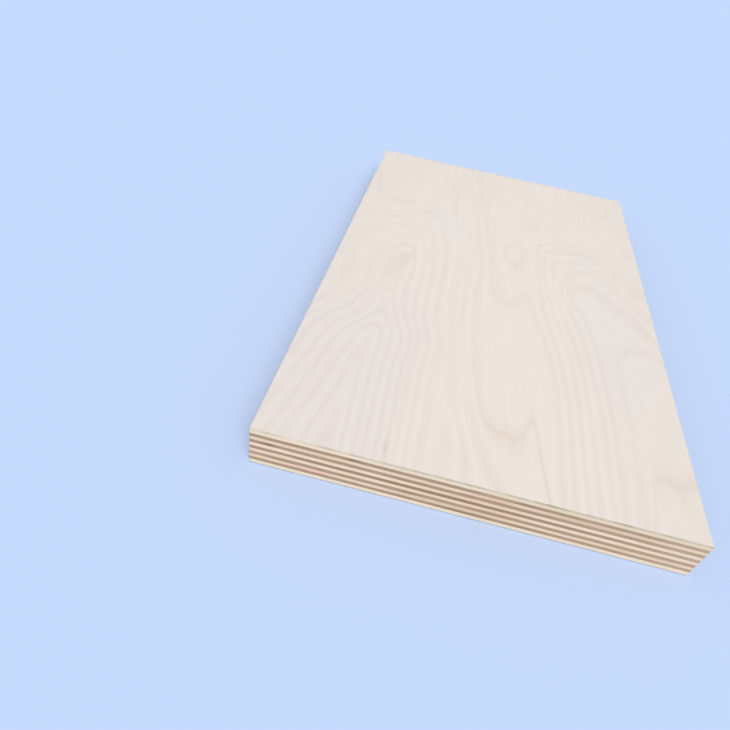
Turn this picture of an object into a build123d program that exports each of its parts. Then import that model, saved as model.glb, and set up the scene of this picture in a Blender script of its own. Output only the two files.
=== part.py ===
from build123d import *
import os

# A small sheet of birch plywood lying flat: eleven rotary-cut veneers, glued face to face with the
# grain of each ply at a right angle to the next, then sawn to size and its arrises eased.
# The origin is the centre of the back, with X across the face grain, Y along it and Z up. In millimetres.

# The sheet's outline, as sawn
sheet_width = 132.0  # across the grain of the face
sheet_length = 220.0  # along the grain of the face

# The veneers, at their thickness in the pressed and sanded sheet
outer_veneer = 1.7  # the face and the back
cross_veneer = 1.2  # inner plies whose grain runs across the sheet, dark where they are sawn
long_veneer = 1.4  # inner plies whose grain runs along the sheet, pale where they are sawn
cross_plies = 5  # the cross plies lie next to the face, next to the back, and at every second ply between

# The edges, rubbed down with fine abrasive paper
corner_radius = 0.5  # the four upright corners
arris_radius = 0.3  # the edges that run round the face and round the back

# The lay-up from the back up, as each ply's name and thickness
lay_up = [("back_veneer", outer_veneer)]
for number in range(1, cross_plies):
    lay_up.append((f"cross_veneer_{number}", cross_veneer))
    lay_up.append((f"long_veneer_{number}", long_veneer))
lay_up.append((f"cross_veneer_{cross_plies}", cross_veneer))
lay_up.append(("face_veneer", outer_veneer))

os.makedirs("parts", exist_ok=True)

# Each ply lies on the one below it, face to face, and is cut flush with it all round
underside = 0.0
for name, thickness in lay_up:
    with BuildPart() as ply:
        with BuildSketch(Plane.XY.offset(underside)):
            RectangleRounded(sheet_width, sheet_length, corner_radius)
        extrude(amount=thickness)
        if name == "face_veneer":
            fillet(ply.faces().sort_by(Axis.Z)[-1].edges(), arris_radius)
        if name == "back_veneer":
            fillet(ply.faces().sort_by(Axis.Z)[0].edges(), arris_radius)
    ply.part.label = name
    export_step(ply.part, f"parts/{name}.step")
    underside += thickness
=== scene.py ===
import math

import bmesh
import bpy
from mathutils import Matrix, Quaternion, Vector


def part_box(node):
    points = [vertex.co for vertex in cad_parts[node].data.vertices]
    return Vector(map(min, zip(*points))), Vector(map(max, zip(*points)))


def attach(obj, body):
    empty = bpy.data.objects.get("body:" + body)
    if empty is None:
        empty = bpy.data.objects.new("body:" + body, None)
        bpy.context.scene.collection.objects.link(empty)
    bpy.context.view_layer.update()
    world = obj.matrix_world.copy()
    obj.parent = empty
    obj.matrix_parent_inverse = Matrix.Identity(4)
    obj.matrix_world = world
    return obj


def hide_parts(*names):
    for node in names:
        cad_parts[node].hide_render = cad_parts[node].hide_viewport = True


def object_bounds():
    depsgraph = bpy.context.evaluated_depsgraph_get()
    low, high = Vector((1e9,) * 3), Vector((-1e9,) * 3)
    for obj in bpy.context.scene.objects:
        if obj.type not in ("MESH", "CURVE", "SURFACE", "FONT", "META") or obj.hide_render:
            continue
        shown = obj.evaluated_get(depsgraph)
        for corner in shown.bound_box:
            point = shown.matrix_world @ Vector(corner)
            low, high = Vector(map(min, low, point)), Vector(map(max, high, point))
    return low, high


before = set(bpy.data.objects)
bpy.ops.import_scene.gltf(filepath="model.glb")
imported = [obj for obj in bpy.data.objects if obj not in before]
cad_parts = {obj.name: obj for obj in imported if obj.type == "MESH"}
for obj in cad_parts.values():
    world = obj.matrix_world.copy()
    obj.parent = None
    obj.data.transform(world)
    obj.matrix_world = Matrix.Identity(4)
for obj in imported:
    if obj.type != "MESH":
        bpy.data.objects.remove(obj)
cad_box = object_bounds()


# The back veneer
# The outer ply that the sheet lies on: one sheet of birch peeled from the log, its grain along the
# sheet. It is glued under the first cross veneer, sawn flush with it, sanded, and its arris is eased.

MM = 0.001
corner_radius = 0.5 * MM  # the four upright corners of the sheet, rubbed down
arris_radius = 0.3 * MM  # the edge that runs round the back, and the one round the face
glue_rim = 0.04 * MM  # the hollow that the abrasive leaves at a glue line
fibre_hollow = 0.05 * MM  # how far a sawn edge sinks between its fibres
outer_cell = 2.0 * MM  # the mesh of a wide face that shows
saw_column = 0.5 * MM  # the mesh of a sawn edge
rounding_steps = 4  # the facets of a rounded corner or arris
edge_rows = 5  # the rows of mesh up a sawn edge
tiny = 0.002 * MM
crosswise = 0  # grain along X
lengthwise = 1  # grain along Y


def pick_edges(ply, wanted):
    """In edit mode, selects the edges whose two ends pass the test, and no others."""
    bpy.ops.mesh.select_all(action="DESELECT")
    mesh = bmesh.from_edit_mesh(ply.data)
    for edge in mesh.edges:
        edge.select_set(wanted(edge.verts[0].co, edge.verts[1].co))
    bmesh.update_edit_mesh(ply.data)


def along(axis, a, b):
    """Whether the edge from a to b runs along an axis, 0 for X, 1 for Y or 2 for Z."""
    nearly_parallel = 0.999
    return abs((b - a).normalized()[axis]) > nearly_parallel


def cut_veneer(node, cell, rim_below, rim_above, fibre_axis):
    """Models a ply at its CAD node's size: a block with round corners, eased rims and sawn edges."""
    low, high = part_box(node)
    bpy.ops.object.select_all(action="DESELECT")
    bpy.ops.mesh.primitive_cube_add(size=1, location=(low + high) / 2, scale=high - low)
    ply = bpy.context.object
    ply.name = "finished_" + node
    bpy.ops.object.transform_apply(location=True, rotation=True, scale=True)

    def at_outline(point, depth):
        return abs(point.x) > high.x - depth - tiny or abs(point.y) > high.y - depth - tiny

    # A grid of cells over the wide faces, and rows up the edges
    bpy.ops.object.mode_set(mode="EDIT")
    bpy.ops.mesh.select_mode(type="EDGE")
    cells = [round((high.x - low.x) / cell), round((high.y - low.y) / cell), edge_rows]
    for axis in range(3):
        pick_edges(ply, lambda a, b: along(axis, a, b))
        bpy.ops.mesh.subdivide(number_cuts=cells[axis] - 1)

    # The upright corners, then the rims below and above
    def upright_corner(a, b):
        outside = abs(a.x) > high.x - tiny and abs(a.y) > high.y - tiny
        return outside and along(2, a, b)

    pick_edges(ply, upright_corner)
    bpy.ops.mesh.bevel(offset=corner_radius, segments=rounding_steps, affect="EDGES")
    for level, rim in ((low.z, rim_below), (high.z, rim_above)):

        def on_rim(a, b):
            flat = abs(a.z - level) < tiny and abs(b.z - level) < tiny
            return flat and at_outline(a, corner_radius) and at_outline(b, corner_radius)

        pick_edges(ply, on_rim)
        facets = rounding_steps if rim == arris_radius else 1
        bpy.ops.mesh.bevel(offset=rim, segments=facets, affect="EDGES")

    # The sawn edges are divided into narrow columns
    rim = max(rim_below, rim_above)

    def along_the_saw(a, b):
        across_front = along(0, a, b) and min(abs(a.y), abs(b.y)) > high.y - rim - tiny
        along_side = along(1, a, b) and min(abs(a.x), abs(b.x)) > high.x - rim - tiny
        return across_front or along_side

    pick_edges(ply, along_the_saw)
    bpy.ops.mesh.subdivide(number_cuts=round(cell / saw_column) - 1, ngon=False)
    bpy.ops.mesh.select_all(action="SELECT")
    bpy.ops.mesh.normals_make_consistent(inside=False)
    bpy.ops.object.mode_set(mode="OBJECT")

    # The saw and the abrasive leave the edge a little hollow between its fibres
    sawn = ply.vertex_groups.new(name="sawn edge")
    wall = [
        v.index
        for v in ply.data.vertices
        if at_outline(v.co, corner_radius) and low.z + rim_below - tiny < v.co.z < high.z - rim_above + tiny
    ]
    sawn.add(wall, 1, "REPLACE")
    fibre_length = 5.0 * MM
    fibre_width = 0.35 * MM
    wander = bpy.data.textures.new(node + " fibres", "CLOUDS")
    wander.noise_scale = 1
    bpy.ops.object.empty_add(location=(0, 0, 0))
    fibres = bpy.context.object
    fibres.scale = (fibre_width, fibre_width, fibre_width)
    fibres.scale[fibre_axis] = fibre_length
    bpy.context.view_layer.update()
    bpy.ops.object.select_all(action="DESELECT")
    ply.select_set(True)
    bpy.context.view_layer.objects.active = ply
    bpy.ops.object.modifier_add(type="DISPLACE")
    relief = ply.modifiers[-1]
    relief.texture = wander
    relief.texture_coords = "OBJECT"
    relief.texture_coords_object = fibres
    relief.vertex_group = "sawn edge"
    relief.mid_level = 1
    relief.strength = fibre_hollow
    bpy.ops.object.modifier_apply(modifier=relief.name)
    bpy.data.objects.remove(fibres)

    # The wide faces stay flat in their shading, and the roundings take it up
    sharp_from = math.radians(30)
    bpy.ops.object.shade_smooth_by_angle(angle=sharp_from)
    bpy.ops.object.modifier_add(type="WEIGHTED_NORMAL")
    shading = ply.modifiers[-1]
    shading.weight = 80
    shading.keep_sharp = True
    bpy.ops.object.modifier_apply(modifier=shading.name)
    return ply


class Socket:
    """A shader socket that plain sums can be written on: each sum adds its Math node."""

    def __init__(self, tree, socket):
        self.tree = tree
        self.socket = socket

    def node(self, kind, settings=(), inputs=(), output=0):
        """Adds one node: its settings are made first, then its sockets get their values or links."""
        new = self.tree.nodes.new("ShaderNode" + kind)
        for name, value in dict(settings).items():
            setattr(new, name, value)
        for place, value in dict(inputs).items():
            if isinstance(value, Socket):
                self.tree.links.new(value.socket, new.inputs[place])
            else:
                new.inputs[place].default_value = value
        return Socket(self.tree, new.outputs[output])

    def maths(self, operation, *others):
        return self.node("Math", {"operation": operation}, enumerate([self, *others]))

    def __add__(self, other):
        return self.maths("ADD", other)

    def __sub__(self, other):
        return self.maths("SUBTRACT", other)

    def __rsub__(self, other):
        return self * -1 + other

    def __neg__(self):
        return self * -1

    def __mul__(self, other):
        return self.maths("MULTIPLY", other)

    def __truediv__(self, other):
        return self.maths("DIVIDE", other)

    def __pow__(self, other):
        return self.maths("POWER", other)

    def __abs__(self):
        return self.maths("ABSOLUTE")

    __radd__ = __add__
    __rmul__ = __mul__


def colour(red, green, blue):
    """A colour given from 0 to 255 as a screen shows it, as the linear one that a shader takes."""
    parts = [part / 255 for part in (red, green, blue)]
    return [p / 12.92 if p <= 0.04045 else ((p + 0.055) / 1.055) ** 2.4 for p in parts] + [1]


def blend(mask, first, second):
    """The first colour where the mask is 0, and the second where it is 1."""
    return mask.node("Mix", {"data_type": "RGBA"}, {0: mask, 6: first, 7: second}, 2)


def held(value):
    """The value, but never under 0 or over 1."""
    return value.node("Clamp", (), {0: value})


def cloud(place, size, seed, detail=2.0):
    """Soft patches between about -1 and 1, of a size in millimetres along X, Y and Z."""
    finer = [1 / part for part in size]
    scaled = place.node("VectorMath", {"operation": "MULTIPLY_ADD"}, {0: place, 1: finer, 2: [seed] * 3})
    noise = scaled.node("TexNoise", (), {"Vector": scaled, "Scale": 1, "Detail": detail})
    middle = 0.5
    gain = 3.2
    return (noise - middle) * gain


def above(value, level, softness):
    """A mask that is 1 where the value is well above the level, and 0 where it is well below."""
    return 0.5 + 0.5 * ((value - level) / softness).maths("TANH")


def below(value, level, softness):
    """The opposite mask, 1 where the value is well below the level."""
    return above(-value, -level, softness)


def hump(value, middle, half_width):
    """A swell along one direction, 1 at its middle."""
    return (-(((value - middle) / half_width) ** 2)).maths("EXPONENT")


def swell(x, y, middle_x, middle_y, half_width, half_length):
    """A round swell, 1 at its middle."""
    return hump(x, middle_x, half_width) * hump(y, middle_y, half_length)


def least(first, second, softness):
    """The lower of two values, with a soft turn where they meet."""
    return first.maths("SMOOTH_MIN", second, softness)


def ring_lines(rings, half_width):
    """A thin dark line wherever the wood's ring count is a whole number."""
    away = abs(rings - rings.maths("ROUND"))
    return hump(away, 0, half_width)


def ring_figure(place, rings, y, seed):
    """Dark lines of the rings, each line's own strength along it, and a fainter line between two."""
    by_ring = place.node("CombineXYZ", (), {0: rings, 1: y})
    dark_core = ring_lines(rings, 0.12)
    soft_flanks = ring_lines(rings, 0.26)
    lines = 0.7 * dark_core + 0.3 * soft_flanks
    along_each = cloud(by_ring, (0.9, 50, 1), seed)
    patches = cloud(place, (11, 14, 11), seed + 2)
    strength = 0.85 + 0.5 * along_each + 0.2 * patches
    halfway = ring_lines(rings * 2 + 0.5, 0.2)
    faint = 0.3 * halfway * (0.4 + 0.7 * cloud(by_ring, (0.7, 40, 1), seed + 1))
    return lines, strength, faint


def fine_grain(place, seed):
    """What runs along the grain of a wide face: its fibres, soft streaks and pores."""
    fibres = cloud(place, (0.3, 10, 0.3), seed, 3.0)
    streaks = cloud(place, (1.8, 70, 1.8), seed + 1)
    pores = below(cloud(place, (0.12, 1.6, 0.12), seed + 2, 0.0), -0.8, 0.12)
    return fibres, streaks, pores


def open_wood(name):
    """A new material, with its place on the object in millimetres as a vector, and as x, y and z."""
    material = bpy.data.materials.new(name)
    material.use_nodes = True
    tree = material.node_tree
    coordinates = Socket(tree, tree.nodes.new("ShaderNodeTexCoord").outputs["Object"])
    place = coordinates.node("VectorMath", {"operation": "SCALE"}, {0: coordinates, "Scale": 1 / MM})
    parts = [place.node("SeparateXYZ", (), {0: place}, output=axis) for axis in range(3)]
    return material, place, parts


birch_ior = 1.45
grain_depth = 0.015 * MM  # the relief of a sanded wide face
sawn_depth = 0.02 * MM  # and that of a sawn edge


def close_wood(material, base, roughness, height, depth):
    """Gives the colour, roughness and relief to the material's shader, the depth in metres."""
    tree = material.node_tree
    shader = tree.nodes["Principled BSDF"]
    settled = height.node("Bump", (), {"Strength": 1, "Distance": depth, "Height": height})
    tree.links.new(base.socket, shader.inputs["Base Color"])
    tree.links.new(roughness.socket, shader.inputs["Roughness"])
    tree.links.new(settled.socket, shader.inputs["Normal"])
    shader.inputs["IOR"].default_value = birch_ior


def sawn_wood(place, fibre_axis, pale, dark, warm, cool, seed):
    """The colour and relief of a ply's sawn edge: growth layers, fibres, pores and stretches of tint.

    Each size is in millimetres, and each factor of the shade is how far that mark darkens the wood.
    """

    def drawn_out(width, length):
        """A size along X, Y and Z that is long along the fibres."""
        size = [width, width, width]
        size[fibre_axis] = length
        return size

    layers = cloud(place, (22, 22, 0.45), seed)
    fibres = cloud(place, drawn_out(0.16, 7), seed + 11, 3.0)
    bundles = cloud(place, drawn_out(0.5, 12), seed + 67, 1.0)
    pores = below(cloud(place, drawn_out(0.1, 1.4), seed + 23, 0.0), -0.7, 0.12)
    dashes = below(cloud(place, (6, 6, 0.45), seed + 37, 1.0), -0.75, 0.25)
    spans = cloud(place, (9, 9, 3), seed + 41)
    shade = 0.35 + 0.45 * layers + 0.2 * fibres + 0.28 * bundles + 0.3 * pores + 0.4 * dashes + 0.3 * spans
    stretch = 1.2 * cloud(place, (13, 13, 4), seed + 53)
    base = blend(held(shade), pale, dark)
    base = blend(held(stretch), base, warm)
    base = blend(held(-stretch), base, cool)
    return base, fibres * 0.5 - pores


def outer_edge(place, x, y, half_width, half_length, seed):
    """How far a point is inside the sheet's outline, the mask of the sawn edge, and the wood there."""
    creamy = (colour(240, 229, 213), colour(226, 211, 190), colour(238, 222, 200), colour(228, 218, 198))
    edge = sawn_wood(place, lengthwise, *creamy, seed)[0]
    inside = least(half_width - abs(x), half_length - abs(y), 0.01)
    return inside, below(inside, 0.15, 0.05), edge


def half_sizes(node):
    """Half the ply's width and length, in millimetres."""
    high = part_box(node)[1]
    return high.x / MM, high.y / MM


def levels(node):
    """The heights of the ply's lower and upper face, in millimetres."""
    low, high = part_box(node)
    return low.z / MM, high.z / MM


def finish_veneer(ply, material, node):
    ply.data.materials.append(material)
    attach(ply, "root")
    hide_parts(node)


material, place, (x, y, z) = open_wood("birch back veneer")
half_width, half_length = half_sizes("back_veneer")
back_wood = colour(236, 224, 211)
back_ring = colour(212, 195, 180)
# painted shade: the colour of a dark line along the bottom arris, in place of the contact shadow under the
# rim
painted_contact_shade = colour(120, 114, 110)
back_roughness = 0.58

# Arches one inside the other, drawn out along the grain, with two pin knots
bent_x = x + 3 * cloud(place, (60, 80, 60), 5) + 0.5 * cloud(place, (5, 20, 5), 6)
bent_y = y + 5 * cloud(place, (25, 50, 25), 13)
rings = 0.19 * ((bent_x - 9) ** 2 + 90) ** 0.5 - 0.03 * bent_y + 0.5 * cloud(place, (25, 90, 25), 14)
lines, strength, faint = ring_figure(place, rings, bent_y, 15)
fibres, streaks, pores = fine_grain(place, 41)
knots = 0.5 * swell(x, y, -31, 38, 1.1, 2.2) + 0.4 * swell(x, y, 40, -61, 0.9, 1.8)
mottle = 0.05 * cloud(place, (6, 12, 6), 45)
tone = 0.1 + 0.34 * lines * strength + 0.8 * faint + 0.06 * fibres + 0.09 * streaks + 0.12 * pores
base = blend(held(tone + mottle + knots), back_wood, back_ring)
inside, side, edge = outer_edge(place, x, y, half_width, half_length, 47)
base = blend(side, base, edge)
# Painted shade: a dark line along the bottom arris, standing in for the contact shadow under the sheet's
# rim
painted_shade_under_rim = below(inside, 0.35, 0.08) * below(z, 0.3, 0.08)
base = blend(0.8 * painted_shade_under_rim, base, painted_contact_shade)
close_wood(material, base, back_roughness + 0.05 * fibres, fibres * 0.4 - pores, grain_depth)
back = cut_veneer("back_veneer", outer_cell, arris_radius, glue_rim, lengthwise)
finish_veneer(back, material, "back_veneer")


# The inner veneers
# Nine plies of birch between the back and the face. Five have their grain across the sheet and look
# brown where they are sawn, and the four between them run along it and look pale. Glued hot, ply on ply.

inner_cell = 10.0 * MM
cross_nodes = [f"cross_veneer_{number}" for number in range(1, 6)]
long_nodes = [f"long_veneer_{number}" for number in range(1, 5)]
brown = (colour(188, 164, 142), colour(142, 115, 92), colour(174, 142, 122), colour(166, 148, 120))
tan = (colour(244, 226, 207), colour(210, 182, 158), colour(234, 204, 188), colour(232, 214, 188))
light_brown = colour(194, 172, 150)
deep_brown = colour(150, 122, 95)
deep_tan = colour(214, 190, 166)
whiter = colour(252, 238, 224)
spot_brown = colour(122, 88, 62)
glue_stain = colour(190, 160, 136)
glue_line = colour(132, 102, 78)
sawn_roughness = 0.62
first_cross_seed = 60
first_long_seed = 100
seed_step = 7


def inner_wood(node, fibre_axis, tints, seed):
    """The wood of an inner ply, with the dark glue at its two faces."""
    material, place, parts = open_wood("birch " + node.replace("_", " "))
    z = parts[2]
    bottom, top = levels(node)
    base, height = sawn_wood(place, fibre_axis, *tints, seed)
    to_glue = least(z - bottom, top - z, 0.01) + 0.02 * cloud(place, (1.2, 1.2, 1.2), seed + 31)
    to_glue = to_glue + 0.05 * cloud(place, (5, 5, 5), seed + 83)
    soaked = below(to_glue, 0.17, 0.1) * (0.5 + 0.7 * cloud(place, (7, 7, 1.5), seed + 71))
    base = blend(held(soaked), base, glue_stain)
    base = blend(0.4 * below(to_glue, 0.06, 0.03), base, glue_line)
    return material, parts, base, height


def finish_inner(node, material, base, height, fibre_axis):
    close_wood(material, base, sawn_roughness + 0.06 * height, height, sawn_depth)
    ply = cut_veneer(node, inner_cell, glue_rim, glue_rim, fibre_axis)
    finish_veneer(ply, material, node)


for count, node in enumerate(cross_nodes):
    seed = first_cross_seed + seed_step * count
    material, (x, y, z), base, height = inner_wood(node, crosswise, brown, seed)
    base = blend(0.5 * above(x, 50, 12), base, light_brown)

    # Two plies have a deeper stretch, and two have a brown spot on the front edge
    in_front = below(y, -100, 3)
    if node == "cross_veneer_1":
        base = blend(0.55 * hump(x, 0, 14), base, deep_brown)
    if node == "cross_veneer_3":
        base = blend(0.8 * hump(x, -12, 36), base, deep_brown)
    if node == "cross_veneer_4":
        base = blend(0.8 * in_front * swell(x, z, -60, 10.1, 1.6, 0.5), base, spot_brown)
    if node == "cross_veneer_5":
        base = blend(0.8 * in_front * swell(x, z, -35, 12.9, 2.2, 0.4), base, spot_brown)
    finish_inner(node, material, base, height, crosswise)

for count, node in enumerate(long_nodes):
    seed = first_long_seed + seed_step * count
    material, parts, base, height = inner_wood(node, lengthwise, tan, seed)
    x = parts[0]

    # The two in the middle are whiter, and the lowest and the highest have a deeper stretch
    if node == "long_veneer_1":
        base = blend(0.45 * hump(x, 0, 16), base, deep_tan)
    if node in ("long_veneer_2", "long_veneer_3"):
        base = blend(0.28 * above(abs(x), 14, 8), base, whiter)
    if node == "long_veneer_4":
        base = blend(0.65 * hump(x, 33, 16), base, deep_tan)
    finish_inner(node, material, base, height, lengthwise)


# The face veneer
# The outer ply on top: rotary-cut birch with its grain along the sheet, sanded to a pale satin. The
# peeling lathe slices each growth ring at a low angle, which draws nested arches and an eye on it.


def most(first, second, softness):
    """The higher of two values, with a soft turn where they meet."""
    return first.maths("SMOOTH_MAX", second, softness)


def past(value, softness):
    """How far the value is past nought, and nought where it is short of it, with a soft turn."""
    return 0.5 * (value + (value * value + softness**2) ** 0.5)


def face_rings(x, y):
    """The growth rings that the lathe's cut crosses, as a count that rises from left to right.

    Places and lengths are millimetres on the face, and what a mask is multiplied by is a count of rings.
    """
    # Flat stretches in the middle, with two rings between them that turn back up on their right
    first = least(x + 1.5 + 0.003 * past(y, 5) ** 2, y + 15.5 - 9 * hump(x, 13.8, 2.2), 20)
    teeth = 12 * hump(x, 16, 2.2) + 2.2 * hump(x, 8, 1.2) + 1.5 * hump(x, 12.4, 0.8)
    second = y + 89 - 3.5 * past(1.5 - x, 2) - teeth + 5 * past(x - 17.5, 1.5)
    turned = 1.1 * below(second, 0, 8.5) + 0.9 * below(y + 1.7 * x, -99, 6)
    middle = 1.45 - 0.9 * below(first, 0, 4.5) - turned * above(x, -11, 4)
    middle = middle + 1.05 * swell(x, y, 8.3, 25, 5, 10)

    # Arches on the right, and a shelf by the edge with another turning ring
    spread = 3.6 - 0.6 * above(y, -6, 3) + 0.6 * hump(y, -24, 16)
    flank = 2 + (x - 19.1 - 9.3 * below(y, -30, 22)) / spread
    beyond = past(x - 41, 3)
    height = y - 1 + 0.8 * beyond + 0.022 * beyond**2 + 0.02 * past(41 - x, 4) ** 2
    roof = 8.1 - 1.55 * (0.029 * (height + 5 * hump(height, 31.5, 7))).maths("EXPONENT")
    notch = 0.75 * swell(x, y, 31, 15, 4.5, 7)
    shelf = above(x, 48.5, 2) * below(y + 0.07 * (x - 59) ** 2, -28, 3)
    third = y + 88.5 + 3 * hump(x, 60, 3) + 6 * past(53 - x, 0.8)
    arches = least(least(flank, roof, 1.6) - notch, 6.6, 0.7)
    arches = arches + shelf * (0.93 + 0.95 * below(third, 0, 6))
    right = most(middle, arches, 0.7)

    # Close straight rings left of the middle, then a long nest of arches, with an eye in it
    straight = -3.05 * below(x + 0.04 * (y + 20), -10.6, 5.7)
    crest_x = -39.5 + 0.04 * y.maths("MINIMUM", 0) + 0.25 * y.maths("MAXIMUM", 0) + 1.3 * hump(y, -46, 14)
    crest = 0.1 * past(y + 1, 6) - 0.028 * past(-10 - y, 6) - 7.5 - 1.3 * below(y, -46.5, 6)
    steep = (0.18 + 0.15 * below(y, -24, 50)) * past(x - crest_x, 1.8)
    slack = (0.055 + 0.143 * below(y, -20, 17)) * past(crest_x - x, 1.8)
    step = 1.7 * below(x - 0.125 * y, -46, 2.4) * below(y, 12, 8) * above(y, -30, 8)
    saddle = 0.5 * swell(x, y, -43, -21, 9, 6)
    pit = 0.5 * swell(x - 0.3 * (y + 4), y, -39, -4, 3.5, 9)
    return least(right + straight, crest + steep + slack + step + saddle - pit, 1.8)


material, place, (x, y, z) = open_wood("birch face veneer")
half_width, half_length = half_sizes("face_veneer")
top = levels("face_veneer")[1]
grey_ring = colour(218, 209, 199)
pink_ring = colour(225, 206, 201)
brown_ring = colour(222, 199, 180)
face_wood = colour(241, 231, 222)
creamy_wood = colour(237, 226, 215)
cool_wood = colour(237, 228, 222)
eye_brown = colour(224, 211, 195)
straw = colour(222, 206, 180)
arris_dark_line = colour(170, 158, 132)
face_roughness = 0.56

# The rings, drawn a little unevenly
bent_x = x + 0.6 * cloud(place, (14, 45, 14), 1) + 0.25 * cloud(place, (3, 8, 3), 2)
bent_y = y + 1.6 * cloud(place, (20, 30, 20), 3)
rings = face_rings(bent_x, bent_y) + 0.1 * cloud(place, (12, 36, 12), 4)
lines, strength, faint = ring_figure(place, rings, bent_y, 7)
strength = strength - 0.5 * hump(rings, -1.5, 0.9)

# The grain between the rings, and mottling that is stronger by the far edge and on the right
at_the_back = above(y, 52, 12)
fibres, streaks, pores = fine_grain(place, 21)
streaks = streaks * (0.8 + 0.9 * at_the_back)
mottle = 0.04 * cloud(place, (5, 9, 5), 25) * (1 + 2 * at_the_back + 3 * above(x, 48, 4))
mottle = mottle - 0.1 * swell(x, y, 25, 95, 7, 7) + 0.12 * swell(x, y, 57, 87, 6, 6)

# Small marks in the wood: a pin knot, blotches, a smear, and a resin fleck by the front edge, and painted
# shade that darkens the front right corner
knot_and_corner_shade = 0.35 * swell(x, y, -59.5, -20.5, 1.6, 3.5) + 0.08 * swell(x, y, 62, -95, 12, 16)
blotches = 0.3 * swell(x, y, -49, 52.5, 9, 3) + 0.12 * swell(x, y, 16, 55, 4, 6)
smear = 0.21 * hump(x + 0.21 * (y - 55), -58.5, 2) * above(y, 54, 4) * below(y, 86, 5)
flecks = 0.16 * swell(x, y, 10, 13, 2, 3.5) + 0.5 * swell(x, y, -27, -104, 0.7, 3)

# How dark the lines are: deepest where they turn by the front edge, and fainter towards the far edge
in_front = below(y, -74, 6) * above(x, -3, 4)
inner_turn = in_front * below(rings, 0.6, 0.2)
corner_turn = in_front * above(rings, 7.6, 0.2)
by_the_nest = below(x, -32, 3) * below(y, -36, 6)
by_the_eye = swell(x, y, -53, -15, 11, 22)
line_depth = 0.287 + 0.2 * inner_turn + 0.05 * corner_turn + 0.15 * swell(x, y, 7, -12, 9, 6)
line_depth = line_depth + 0.07 * by_the_nest - 0.07 * by_the_eye - 0.07 * swell(x, y, 8, 26, 7, 12)
line_depth = line_depth - 0.09 * swell(x, y, -1, 8, 6, 8) + 0.07 * swell(x, y, 0, -80, 6, 12)
line_depth = line_depth * (1 - 0.35 * above(y, 55, 14) - 0.52 * swell(x, y, -20, 62, 14, 24))
tone = 0.08 + lines * strength * line_depth + 0.8 * faint + 0.05 * fibres + 0.07 * streaks + 0.1 * pores
tone = tone + mottle + knot_and_corner_shade + blotches + smear + flecks

# The lines are greyish pink, or red-brown where they turn by the front edge. The wood between them is
# creamier by the far edges, and cooler at the front left and on the right.
pink = held(0.5 + 0.7 * cloud(place, (25, 60, 25), 10))
ring_tint = blend(pink, grey_ring, pink_ring)
turned_line = (inner_turn + corner_turn) * held(1.5 * lines)
ring_tint = blend(0.75 * turned_line, ring_tint, brown_ring)
rim_tone = below(half_width - abs(x), 12, 12) + below(half_length - y, 50, 30)
plain = blend(0.6 * rim_tone, face_wood, creamy_wood)
cool = below(x, -22, 10) * below(y, -30, 15) + swell(x, y, 50, -35, 14, 40)
plain = blend(0.7 * cool, plain, cool_wood)
base = blend(held(tone), plain, ring_tint)
up_the_leaf = y + 4.5
leaf = below(abs(x - 0.33 * up_the_leaf + 39.3) / 3.6 + (up_the_leaf / 12) ** 2, 0.9, 0.25)
base = blend(0.37 * leaf, base, eye_brown)

# The ply's own sawn edge, and a darker line along the arris above it at the two ends of the grain
inside, side, edge = outer_edge(place, x, y, half_width, half_length, 17)
edge = blend(0.5 * above(x, 8, 14), edge, straw)
base = blend(side, base, edge)
arris_unevenness = (0.65 + 0.5 * cloud(place, (6, 6, 6), 24)) * (1 - 0.5 * below(x, -44, 6))
arris = below(half_length - abs(y), 0.38, 0.08) * below(top - z, 0.38, 0.08) * arris_unevenness
base = blend(arris, base, arris_dark_line)
close_wood(material, base, face_roughness + 0.05 * fibres, fibres * 0.4 - pores, grain_depth)
face = cut_veneer("face_veneer", outer_cell, glue_rim, arris_radius, lengthwise)
finish_veneer(face, material, "face_veneer")


# The floor and the light
# A plain pale floor that shows the shadow, a big soft lamp from the front right, a weak one from the
# left, and an even white sky. The floor and the sky look pale blue to the camera and in reflections,
# and light the sheet neutrally.

backdrop = colour(200, 220, 255)
floor_grey = colour(215, 215, 215)


def seen(tree):
    """1 for what the camera sees directly, in a reflection or through a clear piece, else 0."""
    rays = tree.nodes.new("ShaderNodeLightPath")
    camera_ray = Socket(tree, rays.outputs["Is Camera Ray"])
    glossy_ray = Socket(tree, rays.outputs["Is Glossy Ray"])
    clear_ray = Socket(tree, rays.outputs["Is Transmission Ray"])
    return camera_ray.maths("MAXIMUM", glossy_ray).maths("MAXIMUM", clear_ray)


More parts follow.
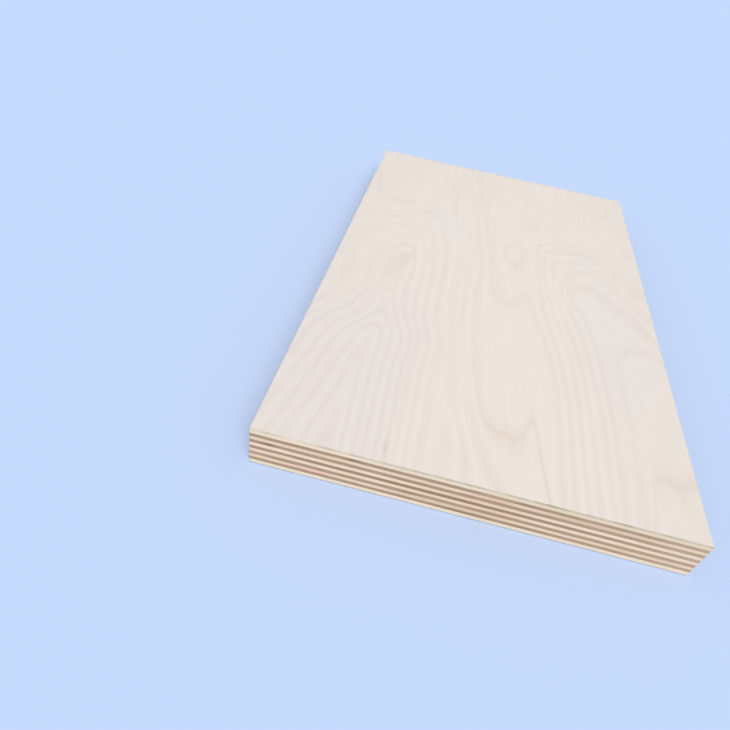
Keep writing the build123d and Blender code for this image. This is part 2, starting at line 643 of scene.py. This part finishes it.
floor_half = 2.0
bpy.ops.object.select_all(action="DESELECT")
bpy.ops.mesh.primitive_plane_add(size=2 * floor_half, location=(0, 0, cad_box[0][2]))
floor = bpy.context.object
floor.name = "floor"
bpy.ops.object.transform_apply(location=True, rotation=True, scale=True)
paper = bpy.data.materials.new("pale floor")
paper.use_nodes = True
tree = paper.node_tree
floor_colour = blend(seen(tree), floor_grey, backdrop)
shader = tree.nodes["Principled BSDF"]
tree.links.new(floor_colour.socket, shader.inputs["Base Color"])
shader.inputs["Roughness"].default_value = 0.9
shader.inputs["Specular IOR Level"].default_value = 0
floor.data.materials.append(paper)

world = bpy.data.worlds.new("even sky")
world.use_nodes = True
bpy.context.scene.world = world
tree = world.node_tree
sky = tree.nodes["Background"]
sky_light = 0.62
sky_white = [sky_light, sky_light, sky_light, 1]
tree.links.new(blend(seen(tree), sky_white, backdrop).socket, sky.inputs["Color"])


def soft_sun(name, azimuth, elevation, strength, spread):
    """A lamp as wide as a window, coming from an azimuth turned from the front towards the right."""
    turn = math.radians(azimuth)
    lift = math.radians(elevation)
    source = Vector((math.sin(turn) * math.cos(lift), -math.cos(turn) * math.cos(lift), math.sin(lift)))
    bpy.ops.object.light_add(type="SUN", rotation=source.to_track_quat("Z", "Y").to_euler())
    lamp = bpy.context.object
    lamp.name = name
    lamp.data.energy = strength
    lamp.data.angle = math.radians(spread)


soft_sun("window", azimuth=18, elevation=48, strength=1.42, spread=40)
soft_sun("fill", azimuth=-35, elevation=22, strength=0.3, spread=40)


# The camera
# It looks down on the sheet from in front, a little to the left and turned, as the photograph does.

camera_place = Vector((-27.35, -216.05, 143.78)) * MM
looks_at = Vector((-39.97, -71.64, 15.0)) * MM
camera_turn = math.radians(10.52)
bpy.ops.object.camera_add(location=camera_place)
camera = bpy.context.object
level = (looks_at - camera_place).to_track_quat("-Z", "Y")
camera.rotation_euler = (level @ Quaternion((0, 0, 1), camera_turn)).to_euler()
camera.data.sensor_width = 36
camera.data.lens = 28.88
camera.data.clip_start = 10 * MM
bpy.context.scene.camera = camera
bpy.context.scene.view_settings.view_transform = "Standard"

bpy.context.view_layer.update()
